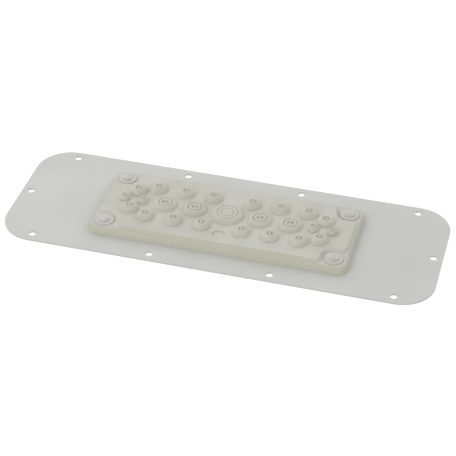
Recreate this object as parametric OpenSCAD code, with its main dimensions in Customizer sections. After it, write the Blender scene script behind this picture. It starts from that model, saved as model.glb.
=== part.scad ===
// Cable entry plate: a coated sheet carrier with a riveted panel of pierceable cable membranes.
// Origin at the middle of the sheet's inner face, +X along the sheet, +Z to the outer side.

/* [Carrier plate] */
// Length of the sheet
plate_l = 396; // [384:1:480]
// Width of the sheet
plate_w = 144; // [138:1:200]
// Thickness of the sheet
plate_t = 1.5; // [1:0.25:3]
// Corner radius of the sheet
plate_r = 32; // [16:1:40]

/* [Fixing holes] */
// Diameter of the fixing holes
fix_d = 6.6; // [4.5:0.1:8]
// Number of holes along each long edge
fix_count = 4; // [2:1:4]
// Distance of the outer holes of a long row from the sheet's ends
fix_first = 33; // [28:1:44]
// Distance of the long rows from the sheet's edge
fix_row_edge = 9; // [7:0.5:12]
// Distance of the end holes from the sheet's ends
fix_end_edge = 8.5; // [7:0.5:12]

/* [Edge seal] */
// Width of the foam bead
seal_w = 9; // [6:0.5:12]
// Height of the foam bead
seal_h = 4; // [2.5:0.25:4.5]
// Gap between the fixing holes and the bead
seal_gap = 3; // [2:0.5:6]
// Corner radius along the middle of the bead
seal_r = 20; // [10:1:30]

/* [Membrane panel] */
// Length of the moulded panel
panel_l = 240; // [238:1:280]
// Width of the moulded panel
panel_w = 95; // [94:1:104]
// Corner radius of the panel
panel_r = 8; // [7:0.5:12]
// Height of the corner pads above the sheet
rim_h = 6.5; // [5.75:0.25:7.25]
// Rounding of the pads' outer edge
rim_edge_r = 1; // [0.6:0.1:1.4]
// Draft of the lower part of the panel's walls, from upright
wall_draft = 20; // [15:1:22]
// Slope of the upper part of the walls, from upright
bevel_draft = 38; // [34:1:42]
// Height above the sheet where the upper part starts
bevel_start = 4.5; // [4:0.1:5]
// Height of the deck above the sheet
deck_h = 9.2; // [8.6:0.2:11]
// Thickness of the deck
deck_t = 2.5; // [2:0.25:3.5]
// Rounding of the deck's upper edge
deck_edge_r = 1.4; // [0.8:0.1:1.6]
// Fine step in the walls at the level of the pads
wall_step = 0.2; // [0.15:0.05:0.4]
// Diameter of the shallow round mark at the front of the deck
mark_d = 12.4; // [8:0.2:14]
// Depth of the round mark
mark_depth = 0.7; // [0.3:0.1:1]
// Distance of the round mark from the panel's middle line
mark_y = 31; // [29:0.5:33]

/* [Cable window] */
// Distance from the panel's ends to the window cut in the sheet
window_inset_x = 13; // [12.5:0.25:14.5]
// Distance from the panel's sides to the window cut in the sheet
window_inset_y = 14.5; // [14:0.25:15]
// Corner radius of the window
window_r = 14; // [12.5:0.5:18]
// Wall of the locating lip that lines the window
lip_t = 2.2; // [1.6:0.1:2.6]
// Depth of the lip below the sheet
lip_h = 2.5; // [1.5:0.25:4]
// Clearance between the lip and the window
lip_gap = 0.4; // [0.2:0.1:0.8]

/* [Corner pads] */
// Distance of the rivets from the panel's ends
rivet_inset_x = 14; // [13:0.25:15]
// Distance of the rivets from the panel's sides
rivet_inset_y = 13.5; // [12.5:0.25:14.5]
// Radius of the round hollow in each corner of the deck, at its foot
pad_r = 9.6; // [9.3:0.1:10]
// Radius that blends the hollow into the deck's sides
blend_r = 8.5; // [7.5:0.25:9.5]

/* [Membranes] */
// Diameter of the middle membrane
centre_d = 31.4; // [28:0.2:33]
// Height of the middle membrane above the deck
centre_rise = 3.6; // [3.2:0.1:4.5]
// Diameter of the large membranes
large_d = 22.9; // [20:0.1:24]
// Height of the large membranes above the deck
large_rise = 3.7; // [3.2:0.1:4.5]
// Distance of the first large membrane from the middle
large_start = 30.6; // [29.6:0.2:31.6]
// Spacing of the large membranes
large_pitch = 28; // [26:0.2:29]
// Diameter of the small membranes
small_d = 17.4; // [15:0.1:18]
// Height of the small membranes above the deck
small_rise = 4.8; // [4:0.1:5.6]
// Distance of the first small membrane from the middle
small_start = 18.7; // [17.5:0.1:19.7]
// Spacing of the small membranes along a row
small_pitch = 26.2; // [25.2:0.1:26.6]
// Distance of the rows of small membranes from the middle line
small_row = 21.5; // [21:0.1:21.7]
// Diameter of the smallest membranes
tiny_d = 10; // [9:0.1:10.6]
// Height of the smallest membranes above the deck
tiny_rise = 4.9; // [4:0.1:5.6]
// Distance of the end groups from the middle
group_x = 88.5; // [87.9:0.1:89.2]
// Distance of the small membranes of an end group from the middle line
group_y = 14; // [13.5:0.1:14.5]
// Distance of the smallest membranes from the middle of their group
group_spread = 8.8; // [8.4:0.1:9]
// Wall of the membranes
skin = 1.2; // [0.8:0.1:1.5]
// Thickness left under the rings, where a membrane is cut out
web = 0.8; // [0.5:0.1:1]
// Bulge of the membranes' sides beyond a straight cone, as a share of their slant length
bulge = 0.17; // [0.1:0.01:0.18]
// Half width of the ring grooves
ring_r = 0.65; // [0.5:0.05:0.75]
// Half width of the ring groove of the smallest membranes
tiny_ring_r = 0.55; // [0.4:0.05:0.6]
// Depth of the ring grooves round the pips
ring_depth = 2; // [1.2:0.1:2.1]
// Depth of the wider ring grooves
wide_ring_depth = 1; // [0.8:0.1:1.4]
// Radius of the inner ring of the middle membrane
centre_ring = 5.7; // [4.5:0.1:6.5]
// Radius of the outer ring of the middle membrane
centre_outer_ring = 9.5; // [8.5:0.1:10]
// Radius of the outer ring of the large membranes
large_outer_ring = 6.2; // [5:0.1:6.6]
// Flat left between the outermost ring and the edge of the crown
crown_edge = 0.5; // [0.3:0.1:0.7]
// Radius of the round pip in the middle of a membrane
pip_r = 1.5; // [1.2:0.05:1.6]
// Radius of the pip of the smallest membranes
tiny_pip_r = 0.9; // [0.7:0.05:1]
// Height of the pips above the membrane's crown
pip_h = 0.6; // [0.2:0.05:0.7]

/* [Washers and rivets] */
// Diameter of the washers
washer_d = 17.4; // [12:0.2:18]
// Thickness of the washers
washer_t = 1.2; // [0.8:0.1:1.6]
// Break of the washers' upper edge
washer_break = 0.25; // [0.1:0.05:0.4]
// Diameter of the rivets' shank
rivet_d = 4.8; // [4:0.1:5]
// Diameter of the rivets' head
rivet_head_d = 10.4; // [8:0.1:11]
// Height of the rivets' head
rivet_head_h = 2; // [1.4:0.1:2.6]
// Clearance of the shank in the washer, the panel and the sheet
rivet_gap = 0.1; // [0.05:0.05:0.3]
// Diameter of the tail that swells behind the sheet
tail_d = 7.6; // [6.6:0.1:8]
// Diameter of the tail at its two ends
tail_end_d = 6.4; // [5.8:0.1:6.5]
// Length of the tail
tail_h = 5; // [4.6:0.1:6]
// Diameter of the mandrel
mandrel_d = 2.6; // [2:0.1:2.8]
// Clearance of the mandrel in the rivet
mandrel_gap = 0.05; // [0.05:0.01:0.1]
// Depth of the broken mandrel below the top of the head
mandrel_sunk = 0.2; // [0.1:0.1:1.2]
// Diameter of the mandrel's own head
mandrel_head_d = 4.4; // [3.6:0.1:5]
// Height of the mandrel's own head
mandrel_head_h = 1.4; // [1:0.1:2]

/* [Hidden] */
$fn = 96;
// Overlap between joined lengths of one moulding
seam = 0.5;
// How far a round form bites into the straight one it runs out of
tuck = 0.1;
// How far cutting shapes run past the faces they cut
past = 1;
// Depth to which raised forms root in the body under them
root = 1;

sheet_grey = [0.80, 0.81, 0.79];
panel_cream = [0.78, 0.77, 0.70];
zinc_grey = [0.76, 0.76, 0.75];
rivet_grey = [0.80, 0.80, 0.79];
mandrel_grey = [0.55, 0.55, 0.54];
seal_black = [0.16, 0.16, 0.17];

fix_pitch = (plate_l - 2 * fix_first) / (fix_count - 1);
fix_row_y = plate_w / 2 - fix_row_edge;
fix_end_x = plate_l / 2 - fix_end_edge;
fix_points = concat(
    [for (i = [0 : fix_count - 1], s = [-1, 1]) [(i - (fix_count - 1) / 2) * fix_pitch, s * fix_row_y]],
    [for (s = [-1, 1]) [s * fix_end_x, 0]]
);

rivet_x = panel_l / 2 - rivet_inset_x;
rivet_y = panel_w / 2 - rivet_inset_y;
rivet_hole_d = rivet_d + 2 * rivet_gap;
corners = [
    ["front_left", -1, -1],
    ["front_right", 1, -1],
    ["back_left", -1, 1],
    ["back_right", 1, 1]
];

window_l = panel_l - 2 * window_inset_x;
window_w = panel_w - 2 * window_inset_y;

// Step from the foot of the panel in to the root of the deck
deck_inset = bevel_start * tan(wall_draft) + (rim_h - root - bevel_start) * tan(bevel_draft) + wall_step;
deck_l = panel_l - 2 * deck_inset;
deck_w = panel_w - 2 * deck_inset;
deck_wall = deck_h - rim_h + root;
// Radius of the hollows at the deck's top
hollow_top_r = pad_r + deck_wall * tan(bevel_draft);
// From the panel's middle lines out to the centres of the blends beside the deck's edges
blend_x = deck_l / 2 - blend_r;
blend_y = deck_w / 2 - blend_r;
// Half lengths of the straight edges of the deck, up to the blends
blend_reach = pad_r + blend_r - tuck;
deck_straight_x = rivet_x - sqrt(pow(blend_reach, 2) - pow(blend_y - rivet_y, 2));
deck_straight_y = rivet_y - sqrt(pow(blend_reach, 2) - pow(blend_x - rivet_x, 2));

// Each kind of membrane: radius, height, crown radius, its grooves as radius and depth, their half width,
// radius of its pip
function kind(d, rise, grooves, half, pip) =
    [d / 2, rise, max([for (g = grooves) g[0]]) + half + crown_edge, grooves, half, pip];
function wide_groove(r) = [r, wide_ring_depth];
pip_groove = [pip_r + ring_r, ring_depth];
tiny_groove = [tiny_pip_r + tiny_ring_r, ring_depth];
centre_grooves = [wide_groove(centre_ring), wide_groove(centre_outer_ring)];
centre_kind = kind(centre_d, centre_rise, centre_grooves, ring_r, pip_r);
large_kind = kind(large_d, large_rise, [pip_groove, wide_groove(large_outer_ring)], ring_r, pip_r);
small_kind = kind(small_d, small_rise, [pip_groove], ring_r, pip_r);
tiny_kind = kind(tiny_d, tiny_rise, [tiny_groove], tiny_ring_r, tiny_pip_r);

membranes = concat(
    [[[0, 0], centre_kind]],
    [for (s = [-1, 1], i = [0, 1]) [[s * (large_start + i * large_pitch), 0], large_kind]],
    [for (s = [-1, 1], t = [-1, 1], i = [0 : 2])
        [[s * (small_start + i * small_pitch), t * small_row], small_kind]],
    [for (s = [-1, 1], t = [-1, 1]) [[s * group_x, t * group_y], small_kind]],
    [for (s = [-1, 1], t = [-1, 1]) [[s * group_x + t * group_spread, 0], tiny_kind]]
);

head_seat = plate_t + rim_h + washer_t;
rivet_bore_d = mandrel_d + 2 * mandrel_gap;

// Points of the front or back, left or right corner from those of the back right one
function on_side(c, points) = [for (p = points) [c[1] * p.x, c[2] * p.y]];

// Radius of the arc through the ends and the top of a bulge
function arc_r(half_width, height) = (half_width * half_width + height * height) / (2 * height);

// Flat rounded rectangle
module rounded_rect(l, w, r) {
    square([l - 2 * r, w], center = true);
    square([l, w - 2 * r], center = true);
    for (sx = [-1, 1], sy = [-1, 1])
        translate([sx * (l / 2 - r), sy * (w / 2 - r)])
            circle(r);
}

// A section drawn with X outward and Y up, run along the X axis and centred on it
module run(length) {
    translate([-length / 2, 0, 0])
        rotate([90, 0, 90])
            linear_extrude(length)
                children();
}

// The same section turned through the quarter round of the corner on side sx, sy
module turn(sx, sy) {
    start = sx > 0 ? (sy > 0 ? 0 : 270) : (sy > 0 ? 90 : 180);
    rotate(start)
        rotate_extrude(angle = 90)
            children();
}

// Section of a sloping edge of width w and height h, rounded at the top
module edge_section(w, h, r) {
    inner = r - tuck;
    rise = h - inner;
    reach = w - rise * tan(bevel_draft) - inner / cos(bevel_draft);
    side = [reach, rise] + inner * [cos(bevel_draft), sin(bevel_draft)];
    intersection() {
        union() {
            polygon([[0, 0], [w, 0], side, [reach, rise], [reach, h], [0, h]]);
            translate([reach, rise])
                circle(r);
        }
        square([w, h]);
    }
}

// Section of the rim: a steep lower wall that turns into the slope of the upper part
module rim_section() {
    bevel_foot = panel_r + bevel_start * (tan(bevel_draft) - tan(wall_draft));
    intersection() {
        edge_section(bevel_foot, rim_h, rim_edge_r);
        polygon([
            [0, 0],
            [panel_r, 0],
            [panel_r - 2 * rim_h * tan(wall_draft), 2 * rim_h],
            [0, 2 * rim_h]
        ]);
    }
}

// Low block that forms the rim and the four corner pads
module rim_block() {
    core = [panel_l - 2 * panel_r + seam, panel_w - 2 * panel_r + seam];
    translate([-core.x / 2, -core.y / 2, 0])
        cube([core.x, core.y, rim_h]);
    for (a = [0, 180]) {
        rotate(a)
            translate([0, panel_w / 2 - panel_r, 0])
                run(panel_l - 2 * panel_r)
                    rim_section();
        rotate(a + 90)
            translate([0, panel_l / 2 - panel_r, 0])
                run(panel_w - 2 * panel_r)
                    rim_section();
    }
    for (sx = [-1, 1], sy = [-1, 1])
        translate([sx * (panel_l / 2 - panel_r), sy * (panel_w / 2 - panel_r), 0])
            turn(sx, sy)
                rim_section();
}

// Section of the hollow that clears a rivet: sloping wall, rounded where it meets the deck's top
module hollow_section() {
    inner = deck_edge_r - tuck;
    rise = deck_wall - inner;
    slope = tan(bevel_draft);
    reach = pad_r + rise * slope + inner / cos(bevel_draft);
    side = [reach, rise] + inner * [-cos(bevel_draft), sin(bevel_draft)];
    low = -2 * past;
    difference() {
        translate([0, -past])
            square([reach, deck_wall + 2 * past]);
        translate([reach, rise])
            circle(deck_edge_r);
        polygon([
            [pad_r + low * slope, low],
            [reach + past, low],
            [reach + past, rise],
            [reach, rise],
            side
        ]);
    }
}

// Flat inner part of the deck, cut back to each rivet between the two blends beside it
module deck_core() {
    difference() {
        square([2 * blend_x, 2 * blend_y], center = true);
        for (c = corners)
            polygon(on_side(c, [
                [deck_straight_x, deck_w],
                [deck_straight_x, blend_y],
                [rivet_x, rivet_y],
                [blend_x, deck_straight_y],
                [deck_l, deck_straight_y],
                [deck_l, deck_w]
            ]));
    }
}

// Raised deck with its hollowed corners, each hollow running out in two round blends
module deck() {
    translate([0, 0, rim_h - root]) {
        difference() {
            union() {
                linear_extrude(deck_wall)
                    deck_core();
                for (a = [0, 180]) {
                    rotate(a)
                        translate([0, blend_y - seam, 0])
                            run(2 * deck_straight_x)
                                edge_section(blend_r + seam - tuck, deck_wall, deck_edge_r);
                    rotate(a + 90)
                        translate([0, blend_x - seam, 0])
                            run(2 * deck_straight_y)
                                edge_section(blend_r + seam - tuck, deck_wall, deck_edge_r);
                }
            }
            at_rivets()
                rotate_extrude()
                    hollow_section();
        }
        for (c = corners, p = on_side(c, [[deck_straight_x, blend_y], [blend_x, deck_straight_y]]))
            translate([p.x, p.y, 0])
                rotate_extrude()
                    edge_section(blend_r, deck_wall, deck_edge_r);
    }
}

// Outside of a membrane above the deck: bulging side, flat crown with ring grooves, round pip
module membrane_outside(k) {
    rise = k[1];
    foot = [k[0], -root];
    crown = [k[2], rise];
    chord = crown - foot;
    slant = norm(chord);
    side_r = arc_r(slant / 2, bulge * slant);
    side_centre = (foot + crown) / 2 - (side_r / slant - bulge) * [chord.y, -chord.x];
    core = max(side_centre.x, k[5]);
    pip_arc = arc_r(k[5], pip_h);
    rotate_extrude()
        difference() {
            union() {
                intersection() {
                    translate(side_centre)
                        circle(side_r);
                    translate([0, -root])
                        square([k[0] + past, root + rise]);
                }
                translate([0, -root])
                    square([core, root + rise]);
                intersection() {
                    translate([0, rise + pip_h - pip_arc])
                        circle(pip_arc);
                    translate([0, rise - tuck])
                        square([k[5] + k[4], pip_h + 2 * tuck]);
                }
            }
            for (g = k[3])
                translate([g[0], rise - g[1] + k[4]]) {
                    circle(k[4]);
                    translate([-k[4], 0])
                        square([2 * k[4], g[1]]);
                }
        }
}

// Hollow of a membrane, open to the cable side
module membrane_inside(k) {
    r = k[0] - skin;
    low = -deck_t - past;
    top = k[1] - max([for (g = k[3]) g[1]]) - web;
    rotate_extrude()
        polygon([[0, low], [r, low], [r, 0], [k[2], top], [0, top]]);
}

// Thin wall that lines the cut edge of the sheet
module lip() {
    translate([0, 0, -plate_t - lip_h])
        linear_extrude(plate_t + lip_h + root)
            rounded_rect(window_l - 2 * lip_gap, window_w - 2 * lip_gap, window_r - lip_gap);
}

// Space under the deck where the cables run, stepped in above to leave the corner pads whole
module cable_space() {
    inset = lip_gap + lip_t;
    low = rim_h - deck_t;
    translate([0, 0, -plate_t - lip_h - past])
        linear_extrude(plate_t + lip_h + past + low)
            space_outline(inset);
    translate([0, 0, low - past])
        linear_extrude(past + deck_h - rim_h)
            difference() {
                space_outline(inset);
                at_rivets()
                    circle(hollow_top_r + deck_t / 2);
            }
}

// Outline of the space inside the lip
module space_outline(inset) {
    rounded_rect(window_l - 2 * inset, window_w - 2 * inset, window_r - inset);
}

// Copies of a form at the four rivets
module at_rivets() {
    for (c = corners)
        translate([c[1] * rivet_x, c[2] * rivet_y, 0])
            children();
}

module carrier_plate() {
    color(sheet_grey)
        linear_extrude(plate_t)
            difference() {
                rounded_rect(plate_l, plate_w, plate_r);
                rounded_rect(window_l, window_w, window_r);
                for (p = fix_points)
                    translate(p)
                        circle(d = fix_d);
                at_rivets()
                    circle(d = rivet_hole_d);
            }
}

module edge_seal() {
    half_x = fix_end_x - fix_d / 2 - seal_gap - seal_w / 2;
    half_y = fix_row_y - fix_d / 2 - seal_gap - seal_w / 2;
    color(seal_black)
        for (a = [0, 180]) {
            rotate(a)
                translate([0, half_y, 0])
                    run(2 * (half_x - seal_r))
                        bead_section();
            rotate(a + 90)
                translate([0, half_x, 0])
                    run(2 * (half_y - seal_r))
                        bead_section();
        }
    color(seal_black)
        for (sx = [-1, 1], sy = [-1, 1])
            translate([sx * (half_x - seal_r), sy * (half_y - seal_r), 0])
                turn(sx, sy)
                    translate([seal_r, 0])
                        bead_section();
}

// Domed section of the foam bead, flat against the sheet
module bead_section() {
    arc = arc_r(seal_w / 2, seal_h);
    intersection() {
        translate([0, arc - seal_h])
            circle(arc);
        translate([-seal_w / 2, -seal_h])
            square([seal_w, seal_h]);
    }
}

module membrane_panel() {
    color(panel_cream)
        translate([0, 0, plate_t])
            difference() {
                union() {
                    rim_block();
                    deck();
                    lip();
                    for (m = membranes)
                        translate([m[0].x, m[0].y, deck_h])
                            membrane_outside(m[1]);
                }
                cable_space();
                for (m = membranes)
                    translate([m[0].x, m[0].y, deck_h])
                        membrane_inside(m[1]);
                at_rivets()
                    translate([0, 0, -past])
                        cylinder(h = rim_h + 2 * past, d = rivet_hole_d);
                translate([0, -mark_y, deck_h - mark_depth])
                    cylinder(h = mark_depth + past, d = mark_d);
            }
}

module washer() {
    inner = rivet_hole_d / 2;
    outer = washer_d / 2;
    color(zinc_grey)
        translate([0, 0, plate_t + rim_h])
            rotate_extrude()
                polygon([
                    [inner, 0],
                    [outer, 0],
                    [outer, washer_t - washer_break],
                    [outer - washer_break, washer_t],
                    [inner, washer_t]
                ]);
}

module rivet() {
    head_arc = arc_r(rivet_head_d / 2, rivet_head_h);
    tail_arc = arc_r(tail_h / 2, (tail_d - tail_end_d) / 2);
    color(rivet_grey)
        rotate_extrude()
            difference() {
                union() {
                    intersection() {
                        translate([0, head_seat + rivet_head_h - head_arc])
                            circle(head_arc);
                        translate([0, head_seat])
                            square([rivet_head_d / 2, rivet_head_h]);
                    }
                    translate([0, -tail_h])
                        square([rivet_d / 2, tail_h + head_seat + rivet_head_h / 2]);
                    intersection() {
                        translate([tail_d / 2 - tail_arc, -tail_h / 2])
                            circle(tail_arc);
                        translate([0, -tail_h])
                            square([tail_d / 2, tail_h]);
                    }
                }
                translate([0, -tail_h - past])
                    square([rivet_bore_d / 2, tail_h + head_seat + rivet_head_h + 2 * past]);
            }
}

module mandrel() {
    pin_top = head_seat + rivet_head_h - mandrel_sunk;
    half = mandrel_head_h / 2;
    color(mandrel_grey)
        rotate_extrude()
            polygon([
                [0, -tail_h - mandrel_head_h],
                [mandrel_head_d / 2 - half, -tail_h - mandrel_head_h],
                [mandrel_head_d / 2, -tail_h - half],
                [mandrel_head_d / 2, -tail_h],
                [mandrel_d / 2, -tail_h],
                [mandrel_d / 2, pin_top],
                [0, pin_top]
            ]);
}

carrier_plate();
edge_seal();
membrane_panel();
for (c = corners)
    translate([c[1] * rivet_x, c[2] * rivet_y, 0]) {
        washer();
        rivet();
        mandrel();
    }
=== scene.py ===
import math

import bpy
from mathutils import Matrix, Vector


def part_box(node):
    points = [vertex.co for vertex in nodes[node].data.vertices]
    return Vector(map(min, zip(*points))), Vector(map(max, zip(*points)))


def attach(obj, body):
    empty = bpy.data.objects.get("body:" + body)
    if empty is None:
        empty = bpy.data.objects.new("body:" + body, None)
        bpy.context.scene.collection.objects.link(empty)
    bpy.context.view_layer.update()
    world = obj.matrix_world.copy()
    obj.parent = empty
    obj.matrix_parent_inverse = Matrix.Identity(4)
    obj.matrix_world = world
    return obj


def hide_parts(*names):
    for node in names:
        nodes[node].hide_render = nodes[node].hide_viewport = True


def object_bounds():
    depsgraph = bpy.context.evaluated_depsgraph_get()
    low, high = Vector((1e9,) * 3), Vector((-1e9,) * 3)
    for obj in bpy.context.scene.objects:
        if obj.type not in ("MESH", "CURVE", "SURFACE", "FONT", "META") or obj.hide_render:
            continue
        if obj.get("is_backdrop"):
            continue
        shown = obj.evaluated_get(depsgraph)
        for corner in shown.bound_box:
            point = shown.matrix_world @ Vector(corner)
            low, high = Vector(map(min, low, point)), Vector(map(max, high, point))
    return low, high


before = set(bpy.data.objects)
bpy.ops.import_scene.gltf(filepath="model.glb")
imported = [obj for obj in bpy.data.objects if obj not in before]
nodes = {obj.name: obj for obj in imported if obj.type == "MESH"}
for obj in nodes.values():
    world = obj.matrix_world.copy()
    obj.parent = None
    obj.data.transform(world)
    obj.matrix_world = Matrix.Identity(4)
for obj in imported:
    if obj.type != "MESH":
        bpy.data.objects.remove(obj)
cadLow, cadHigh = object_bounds()
print("frame loaded:", len(nodes), "nodes")


# a node socket that can be used in Python sums
class Flow:
    def __init__(self, tree, socket):
        self.tree = tree
        self.socket = socket

    def plug(self, target, value):
        if isinstance(value, Flow):
            self.tree.links.new(value.socket, target)
        else:
            target.default_value = value

    # any node: its type, then its settings, then what goes into its sockets
    def add(self, kind, settings=None, sockets=None, out=0):
        node = self.tree.nodes.new("ShaderNode" + kind)
        for key, value in (settings or {}).items():
            setattr(node, key, value)
        for key, value in (sockets or {}).items():
            self.plug(node.inputs[key], value)
        return Flow(self.tree, node.outputs[out])

    def maths(self, operation, *values):
        return self.add("Math", {"operation": operation}, dict(enumerate(values)))

    def __add__(self, other):
        return self.maths("ADD", self, other)

    def __radd__(self, other):
        return self.maths("ADD", other, self)

    def __sub__(self, other):
        return self.maths("SUBTRACT", self, other)

    def __rsub__(self, other):
        return self.maths("SUBTRACT", other, self)

    def __mul__(self, other):
        return self.maths("MULTIPLY", self, other)

    def __rmul__(self, other):
        return self.maths("MULTIPLY", other, self)

    def __pow__(self, other):
        return self.maths("POWER", self, other)

    def __rpow__(self, other):
        return self.maths("POWER", other, self)

    def __neg__(self):
        return self.maths("MULTIPLY", self, -1.0)

    def __abs__(self):
        return self.maths("ABSOLUTE", self)

    def least(self, other):
        return self.maths("MINIMUM", self, other)

    # 0 below low, 1 above high, smooth between
    def ramp(self, low, high):
        return self.add("MapRange", {"interpolation_type": "SMOOTHSTEP"}, {0: self, 1: low, 2: high})

    # one colour at 0, the other at 1
    def tint(self, first, second):
        return self.add("Mix", {"data_type": "RGBA"}, {0: self, 6: first, 7: second}, 2)

    # noise at this place
    def noise(self, scale, detail=2.0, roughness=0.5):
        sockets = {"Vector": self, "Scale": scale, "Detail": detail, "Roughness": roughness}
        return self.add("TexNoise", None, sockets)

    def bump(self, depth):
        return self.add("Bump", None, {"Height": self, "Distance": depth, "Strength": 1.0})

    def xyz(self):
        parts = self.add("SeparateXYZ", None, {0: self})
        return [Flow(self.tree, socket) for socket in parts.socket.node.outputs]

    # which way the surface looks
    def normal(self):
        return self.add("NewGeometry", None, None, 1).xyz()


# an empty material: its shader's sockets, and a flow that carries the place on the object
def newMaterial(name):
    material = bpy.data.materials.new(name)
    material.use_nodes = True
    tree = material.node_tree
    shader = tree.nodes["Principled BSDF"]
    place = Flow(tree, None).add("TexCoord", None, None, 3)  # output 3 is the object's own coordinates
    return material, shader.inputs, place


# two patterns in one, the first with the given share
def together(first, second, share):
    return first * share + second * (1.0 - share)


# what varies over the surface: colour, roughness about its mean, and height
def plugSurface(sockets, look, colour, wear, height, depth):
    colour.plug(sockets["Base Color"], colour)
    colour.plug(sockets["Roughness"], look["roughness"] + (wear - 0.5) * look["roughnessSwing"])
    colour.plug(sockets["Normal"], height.bump(depth))


# distance from an upright axis that is mirrored into all four quarters
def fromAxis(x, y, centre):
    across = abs(x) - centre[0]
    along = abs(y) - centre[1]
    return (across * across + along * along) ** 0.5


# a colour as a picture shows it, made linear
def rgb(red, green, blue):
    def straight(value):
        value /= 255
        return value / 12.92 if value <= 0.04045 else ((value + 0.055) / 1.055) ** 2.4
    return (straight(red), straight(green), straight(blue), 1.0)


# powder coat on the sheet: fine orange peel, faint cloudy tone, cut edges and hole walls a little darker as
# painted shade
# slopes here and below say how flat a face lies: 0 for a standing wall, 1 for a level top
sheetLook = {
    "light": rgb(209, 210, 205),
    "dark": rgb(203, 204, 199),
    # painted shade on the cut edges and hole walls
    "edge": rgb(185, 186, 182),
    "shadedCutSlope": (0.2, 0.7),
    "cloud": {"scale": 14.0, "detail": 3.0},
    "speck": {"scale": 2250.0},
    "cloudShare": 0.75,
    "toneSpread": (0.3, 0.7),
    "peel": {"scale": 900.0, "roughness": 0.6},
    "peelDepth": 0.00003,
    "roughness": 0.5,
    "roughnessSwing": 0.2,
    "specular": 0.35,
}


def sheetMaterial(look):
    material, sockets, place = newMaterial("coatedSheet")
    cloud = place.noise(**look["cloud"])
    speck = place.noise(**look["speck"])
    tone = together(cloud, speck, look["cloudShare"]).ramp(*look["toneSpread"])
    flatness = abs(place.normal()[2])
    # painted shade: standing cut faces take the darker edge colour
    paintedCutShade = 1.0 - flatness.ramp(*look["shadedCutSlope"])
    colour = paintedCutShade.tint(tone.tint(look["dark"], look["light"]), look["edge"])
    peel = place.noise(**look["peel"])
    plugSurface(sockets, look, colour, peel, peel, look["peelDepth"])
    sockets["Specular IOR Level"].default_value = look["specular"]
    return material


# moulded elastomer: matt, cream, slightly mottled, with a spark-eroded grain; the front wall tinted warmer
# as painted warm light
panelLook = {
    "light": rgb(207, 206, 197),
    "dark": rgb(200, 198, 188),
    "mottle": {"scale": 38.0, "detail": 4.0, "roughness": 0.55},
    "speck": {"scale": 800.0},
    "mottleShare": 0.8,
    "toneSpread": (0.35, 0.65),
    "grain": {"scale": 1600.0, "roughness": 0.6},
    "grainDepth": 0.00004,
    "roughness": 0.68,
    "roughnessSwing": 0.2,
    "specular": 0.3,
    # front wall, and the right end with its steep foot and its bevel: painted warm light on the front wall,
    # painted shade on the steep foot, a warmer painted light on the bevel
    "wall": rgb(202, 200, 183),
    "wallDepth": 0.006,
    "wallFade": 0.0005,
    "wallSlope": (0.6, 0.97),
    "paintedEndFootShade": rgb(199, 197, 187),
    "paintedEndBevelLight": rgb(207, 204, 190),
    "endDepth": 0.0064,
    "endFade": 0.0004,
    "endSlope": (0.75, 0.97),
    "bevelSlope": (0.4, 0.55),
    # front of the hollows round the rivets, above the pads, lighter as painted light
    "hollow": rgb(214, 212, 198),
    "hollowEdge": (0.016, 0.019),
    "hollowSlope": (0.85, 0.98),
    "hollowFront": (0.3, 0.75),
    "padFade": 0.0003,
    # membranes with a pip: two rows of small ones, a row of large ones and a group at each end
    "largeStart": 0.0306,
    "largePitch": 0.028,
    "smallStart": 0.0187,
    "smallPitch": 0.0262,
    "smallRow": 0.0215,
    "group": (0.0885, 0.014),
    "groupSpread": 0.0088,
    # painted light in the pits round the pips and painted shade about them
    "paintedPitLight": rgb(224, 222, 212),
    "paintedPipShade": rgb(196, 194, 181),
    "pipEdge": (0.00135, 0.0015),
    "pitEdge": (0.0028, 0.00295),
    "paintedPipShadeEdge": (0.0034, 0.0052),
    "tinyLess": 0.0007,
    # the two rings of the middle membrane, lighter as painted light in their grooves
    "paintedRingLight": rgb(214, 212, 202),
    "rings": (0.0057, 0.0095),
    "ringEdge": (0.0006, 0.0008),
}


# distance from the nearest pip; a tiny one counts as further off, so that its pit comes out narrower
def fromPip(look, x, y):
    groupX, groupY = look["group"]
    pips = [(look["largeStart"] + i * look["largePitch"], 0.0) for i in range(2)]
    pips += [(look["smallStart"] + i * look["smallPitch"], look["smallRow"]) for i in range(3)]
    pips.append((groupX, groupY))
    tinyPips = [(groupX + side * look["groupSpread"], 0.0) for side in (-1, 1)]
    distances = [fromAxis(x, y, centre) for centre in pips]
    distances += [fromAxis(x, y, centre) + look["tinyLess"] for centre in tinyPips]
    nearest = distances[0]
    for distance in distances[1:]:
        nearest = nearest.least(distance)
    return nearest


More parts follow.
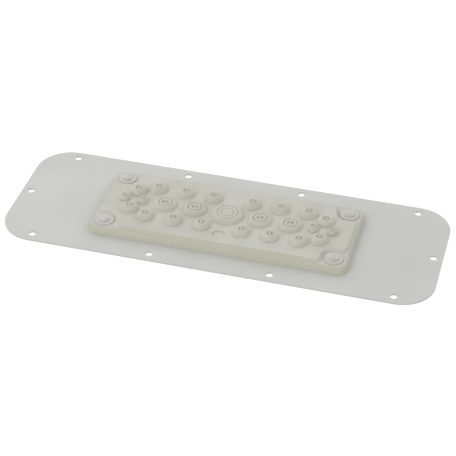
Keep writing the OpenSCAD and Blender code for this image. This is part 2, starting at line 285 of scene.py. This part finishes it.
def panelMaterial(look, panelBox, rivetPlace, padTop):
    material, sockets, place = newMaterial("elastomer")
    mottle = place.noise(**look["mottle"])
    speck = place.noise(**look["speck"])
    tone = together(mottle, speck, look["mottleShare"]).ramp(*look["toneSpread"])
    colour = tone.tint(look["dark"], look["light"])
    x, y, z = place.xyz()
    normal = place.normal()
    flatness = abs(normal[2])

    # painted shade on the right end's steep foot, blending by slope into a warmer painted light on its
    # bevel
    endStart = panelBox[1][0] - look["endDepth"]
    atEnd = x.ramp(endStart - look["endFade"], endStart + look["endFade"])
    paintedEndShading = flatness.ramp(*look["bevelSlope"]).tint(look["paintedEndFootShade"], look["paintedEndBevelLight"])
    colour = ((1.0 - flatness.ramp(*look["endSlope"])) * atEnd).tint(colour, paintedEndShading)

    # painted warm light on the steep faces of the front wall
    wallStart = panelBox[0][1] + look["wallDepth"]
    atFront = 1.0 - y.ramp(wallStart - look["wallFade"], wallStart + look["wallFade"])
    colour = ((1.0 - flatness.ramp(*look["wallSlope"])) * atFront).tint(colour, look["wall"])

    # painted light on the steep, front-facing walls of the hollows above the pads
    inHollow = 1.0 - fromAxis(x, y, rivetPlace).ramp(*look["hollowEdge"])
    steepFrontFacing = (-normal[1]).ramp(*look["hollowFront"]) * (1.0 - flatness.ramp(*look["hollowSlope"]))
    hollow = inHollow * steepFrontFacing * z.ramp(padTop, padTop + look["padFade"])
    colour = hollow.tint(colour, look["hollow"])

    # painted shade on the crowns round the pips, painted light in the pits
    pipDistance = fromPip(look, x, y)
    paintedPipShade = 1.0 - pipDistance.ramp(*look["paintedPipShadeEdge"])
    pit = pipDistance.ramp(*look["pipEdge"]) * (1.0 - pipDistance.ramp(*look["pitEdge"]))
    colour = pit.tint(paintedPipShade.tint(colour, look["paintedPipShade"]), look["paintedPitLight"])

    # painted light along the two ring grooves of the middle membrane
    fromMiddle = fromAxis(x, y, (0.0, 0.0))
    for radius in look["rings"]:
        ring = 1.0 - abs(fromMiddle - radius).ramp(*look["ringEdge"])
        colour = ring.tint(colour, look["paintedRingLight"])

    grain = place.noise(**look["grain"])
    plugSurface(sockets, look, colour, grain, grain, look["grainDepth"])
    sockets["Specular IOR Level"].default_value = look["specular"]
    return material


# turned metal: fine rings about each rivet's axis, painted shade along the outer edge
# first what washers, rivets and mandrels share
turnedLook = {
    "patch": {"scale": 420.0, "detail": 3.0},
    "ringShare": 0.5,
    "ringWander": 0.6,
    "toneSpread": (0.3, 0.7),
    "rimFade": 0.0004,
    "rimLeast": 0.6,
    "rimSwing": 0.8,
    "sideSlope": (0.1, 0.5),
    "roughnessSwing": 0.25,
}
washerLook = {
    **turnedLook,
    "name": "zincWasher",
    "light": rgb(209, 207, 201),
    "dark": rgb(198, 197, 191),
    "rings": 5200.0,
    "ringDepth": 0.000006,
    "rimShadeStart": 0.0079,
    "paintedRimShade": rgb(186, 184, 178),
    # a lighter tone on the washer's standing edge, as painted light
    "side": rgb(216, 214, 208),
    "metallic": 0.15,
    "roughness": 0.55,
}
rivetLook = {
    **turnedLook,
    "name": "rivetAlloy",
    "light": rgb(206, 204, 200),
    "dark": rgb(196, 194, 190),
    "rings": 3600.0,
    "ringDepth": 0.000005,
    "rimShadeStart": 0.0052,
    "paintedRimShade": rgb(185, 183, 179),
    "side": rgb(200, 198, 194),
    "metallic": 0.15,
    "roughness": 0.5,
}
mandrelLook = {
    **turnedLook,
    "name": "mandrelSteel",
    "light": rgb(210, 208, 204),
    "dark": rgb(198, 196, 192),
    "rings": 900.0,
    "ringDepth": 0.00004,
    "rimShadeStart": 0.0012,
    "paintedRimShade": rgb(190, 188, 184),
    "side": rgb(190, 188, 184),
    "metallic": 0.3,
    "roughness": 0.55,
}


def turnedMaterial(look, rivetPlace):
    material, sockets, place = newMaterial(look["name"])
    x, y, z = place.xyz()
    radius = fromAxis(x, y, rivetPlace)
    patch = place.noise(**look["patch"])
    wander = patch * look["ringWander"]
    streak = place.add("CombineXYZ", None, {0: radius * look["rings"], 1: z * look["rings"], 2: wander})
    rings = streak.noise(1.0)
    tone = together(rings, patch, look["ringShare"]).ramp(*look["toneSpread"])
    colour = tone.tint(look["dark"], look["light"])
    # painted shade: a dark band along the outer edge, its strength varied by the patches
    atRim = radius.ramp(look["rimShadeStart"], look["rimShadeStart"] + look["rimFade"])
    colour = (atRim * (look["rimLeast"] + patch * look["rimSwing"])).tint(colour, look["paintedRimShade"])
    # standing faces take the side colour; on the washers it is painted light
    flatness = abs(place.normal()[2])
    colour = flatness.ramp(*look["sideSlope"]).tint(look["side"], colour)
    plugSurface(sockets, look, colour, patch, rings, look["ringDepth"])
    sockets["Metallic"].default_value = look["metallic"]
    return material


# closed-cell foam: dark, dull, with small pores
foamLook = {
    "light": rgb(62, 62, 64),
    "dark": rgb(38, 38, 40),
    "pores": 900.0,
    "poreDepth": 0.00025,
    "poreShare": 0.7,
    "patch": {"scale": 60.0, "detail": 3.0},
    "patchShare": 0.5,
    "toneSpread": (0.2, 0.8),
    "roughness": 0.9,
    "roughnessSwing": 0.1,
}


def foamMaterial(look):
    material, sockets, place = newMaterial("foamSeal")
    pores = place.add("TexVoronoi", None, {"Vector": place, "Scale": look["pores"]})
    patch = place.noise(**look["patch"])
    tone = (pores * look["poreShare"] + patch * look["patchShare"]).ramp(*look["toneSpread"])
    colour = tone.tint(look["dark"], look["light"])
    plugSurface(sockets, look, colour, patch, pores, look["poreDepth"])
    return material


# each node's material, by the first word of its name
washerLow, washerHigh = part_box("washer_back_right")
rivetPlace = [(washerLow[i] + washerHigh[i]) / 2 for i in (0, 1)]
looks = {
    "carrier": sheetMaterial(sheetLook),
    "membrane": panelMaterial(panelLook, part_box("membrane_panel"), rivetPlace, washerLow[2]),
    "edge": foamMaterial(foamLook),
    "washer": turnedMaterial(washerLook, rivetPlace),
    "rivet": turnedMaterial(rivetLook, rivetPlace),
    "mandrel": turnedMaterial(mandrelLook, rivetPlace),
}
for name, piece in nodes.items():
    piece.data.materials.clear()
    piece.data.materials.append(looks[name.split("_")[0]])
print("materials set:", len(looks))

# set blind rivets with a full, button-shaped head: radii in metres
rivetShape = {
    "shank": 0.0024,
    "bore": 0.00135,
    "tailEnd": 0.0032,
    "tailMiddle": 0.0038,
    "fullness": 2.4,  # 2 is an ellipse, more is squarer
    "headSteps": 18,
    "tailSteps": 10,
    "sides": 96,
    "sharpFrom": 35,  # degrees
}


# half section from the tail's end up the outside and over the head to the bore
def rivetProfile(shape, radius, seat, top, bottom):
    alongTail = [i / shape["tailSteps"] for i in range(shape["tailSteps"] + 1)]
    swell = shape["tailMiddle"] - shape["tailEnd"]  # the tail is widest half way up
    points = [(shape["bore"], bottom)]
    points += [(shape["tailEnd"] + swell * 4 * t * (1 - t), bottom * (1 - t)) for t in alongTail]
    points += [(shape["shank"], 0.0), (shape["shank"], seat)]
    power = shape["fullness"]
    last = math.asin((shape["bore"] / radius) ** (power / 2))
    for i in range(shape["headSteps"] + 1):
        angle = math.pi / 2 + (last - math.pi / 2) * i / shape["headSteps"]
        rise = (top - seat) * max(math.cos(angle), 0.0) ** (2 / power)
        points.append((radius * math.sin(angle) ** (2 / power), seat + rise))
    return points


# a closed profile turned about an upright axis
def turnedPiece(name, profile, shape, centre):
    sides = shape["sides"]
    count = len(profile)
    corners = []
    faces = []
    for i in range(sides):
        turn = 2 * math.pi * i / sides
        corners += [(centre[0] + r * math.cos(turn), centre[1] + r * math.sin(turn), z) for r, z in profile]
        here = i * count
        there = (i + 1) % sides * count
        for k in range(count):
            after = (k + 1) % count
            faces.append((here + k, there + k, there + after, here + after))
    mesh = bpy.data.meshes.new(name)
    mesh.from_pydata(corners, [], faces)
    mesh.shade_smooth()
    mesh.set_sharp_from_angle(angle=math.radians(shape["sharpFrom"]))
    piece = bpy.data.objects.new(name, mesh)
    bpy.context.collection.objects.link(piece)
    return piece


for name in [name for name in nodes if name.startswith("rivet_")]:
    low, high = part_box(name)
    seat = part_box(name.replace("rivet", "washer"))[1][2]
    profile = rivetProfile(rivetShape, (high[0] - low[0]) / 2, seat, high[2], low[2])
    centre = [(low[i] + high[i]) / 2 for i in (0, 1)]
    piece = turnedPiece("set_" + name, profile, rivetShape, centre)
    piece.data.materials.append(looks["rivet"])
    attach(piece, "root")
    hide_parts(name)
print("rivets turned")

# white floor under the lowest point, bright enough to read white through the holes
floorLook = {
    "half": 3.0,
    "colour": (0.1, 0.1, 0.1, 1.0),
    "roughness": 0.9,
    "glowColour": (1.0, 1.0, 1.0, 1.0),
    "glow": 0.97,
}
half = floorLook["half"]
floorMesh = bpy.data.meshes.new("floor")
floorCorners = [(-half, -half, 0), (half, -half, 0), (half, half, 0), (-half, half, 0)]
floorMesh.from_pydata(floorCorners, [], [(0, 1, 2, 3)])
floor = bpy.data.objects.new("floor", floorMesh)
floor.location.z = cadLow[2]
bpy.context.collection.objects.link(floor)
floorMaterial, floorSockets = newMaterial("paleFloor")[:2]
floorSockets["Base Color"].default_value = floorLook["colour"]
floorSockets["Roughness"].default_value = floorLook["roughness"]
floorSockets["Emission Color"].default_value = floorLook["glowColour"]
floorSockets["Emission Strength"].default_value = floorLook["glow"]
floorMesh.materials.append(floorMaterial)
floor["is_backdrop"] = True

# soft light: an even white surround and large panels round the part, the stronger ones on the left
lightLook = {
    "surroundColour": (1.0, 1.0, 1.0, 1.0),
    "surround": 0.356,
    "panelSize": 1.4,
    "panels": [
        {"name": "backLeft", "place": (-1.3, 1.3, 1.2), "power": 12.8},
        {"name": "back", "place": (0.0, 2.0, 1.0), "power": 5.7},
        {"name": "backRight", "place": (1.3, 1.3, 1.2), "power": 12.1},
        {"name": "frontLeft", "place": (-1.3, -1.3, 1.2), "power": 16.9},
        {"name": "front", "place": (0.0, -2.0, 1.0), "power": 1.6},
        {"name": "frontRight", "place": (1.3, -1.3, 1.2), "power": 7.3},
    ],
}
world = bpy.data.worlds.new("surround")
world.use_nodes = True
background = world.node_tree.nodes["Background"].inputs
background["Color"].default_value = lightLook["surroundColour"]
background["Strength"].default_value = lightLook["surround"]
bpy.context.scene.world = world
for panel in lightLook["panels"]:
    lamp = bpy.data.lights.new(panel["name"], "AREA")
    lamp.size = lightLook["panelSize"]
    lamp.energy = panel["power"]
    holder = bpy.data.objects.new(panel["name"], lamp)
    holder.location = panel["place"]
    holder.rotation_euler = (-holder.location).to_track_quat("-Z", "Y").to_euler()
    bpy.context.collection.objects.link(holder)
print("floor and lights set")

# camera at the photo's place: metres, degrees, millimetres
view = {
    "place": (0.29645, -1.13823, 0.86608),
    "turn": (53.5114, -0.6527, 15.0452),
    "sensor": 36.0,
    "lens": 126.59,
}
cameraData = bpy.data.cameras.new("camera")
cameraData.sensor_width = view["sensor"]
cameraData.lens = view["lens"]
camera = bpy.data.objects.new("camera", cameraData)
camera.location = view["place"]
camera.rotation_euler = [math.radians(angle) for angle in view["turn"]]
bpy.context.collection.objects.link(camera)
bpy.context.scene.camera = camera
bpy.context.scene.view_settings.view_transform = "Standard"
print("camera set")

low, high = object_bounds()
